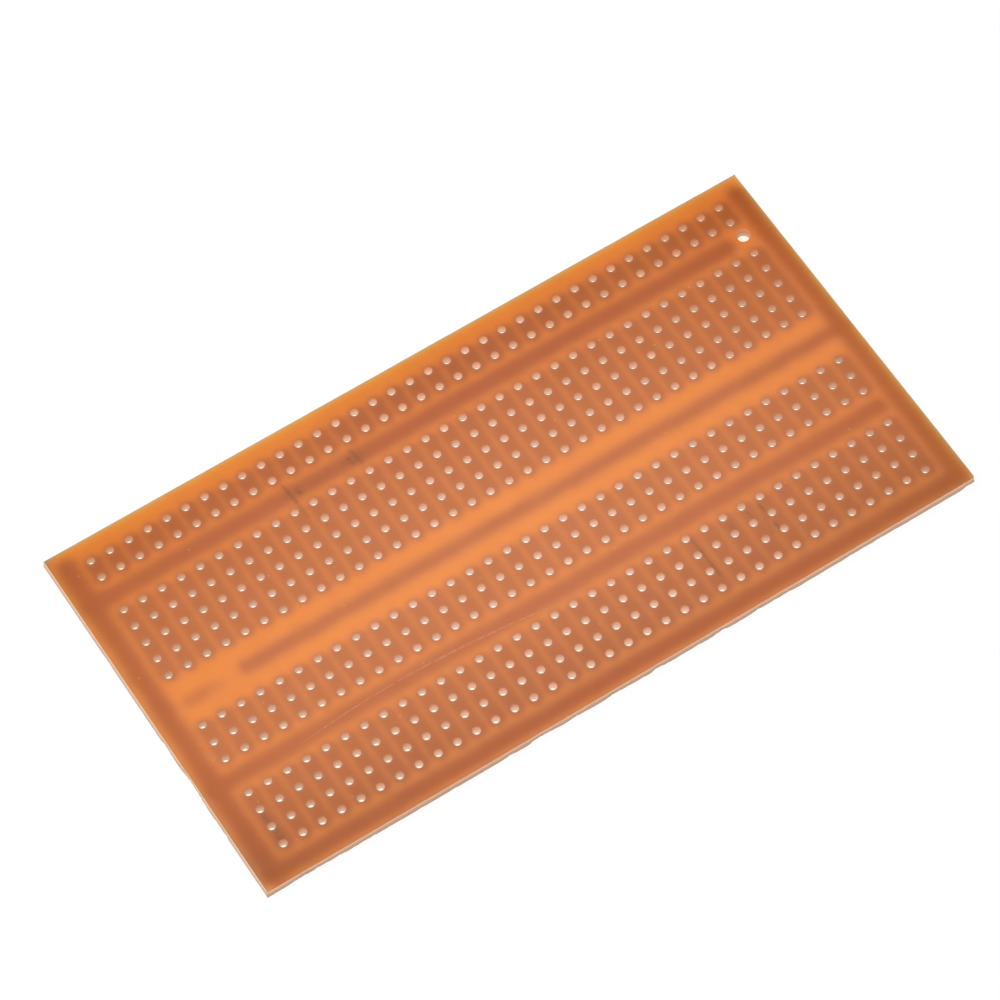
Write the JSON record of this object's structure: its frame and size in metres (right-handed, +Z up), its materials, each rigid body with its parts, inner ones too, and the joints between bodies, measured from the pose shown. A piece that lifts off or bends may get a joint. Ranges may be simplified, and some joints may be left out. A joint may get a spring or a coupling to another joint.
{
  "type": "prototype board",
  "caption": "Single-sided paper-laminate prototype board: a punched 2.54 mm hole lattice over etched column strips and a comb-shaped bus rail, lying component side up.",
  "frame": {"origin": "under the middle of the board, at the face of the copper that it lies on", "axes": "+X along the rows of holes, from the left rail to the right rail; +Y from the bottom rail towards the two-hole strips at the top edge; +Z up through the thickness, towards the component side"},
  "size_m": [0.0954, 0.0504, 0.0012],
  "materials": {
    "laminate": "satin orange-brown paper laminate, faintly translucent, with pale sheared edges and punched walls",
    "copper_foil": "etched copper foil, dull and lightly tarnished"
  },
  "bodies": {
    "root": {"laminate": "laminate", "bus_rail": "copper_foil", "top_strips": "copper_foil", "upper_strips": "copper_foil", "lower_strips": "copper_foil", "bottom_strips": "copper_foil", "index_marks": "copper_foil"}
  },
  "joints": []
}
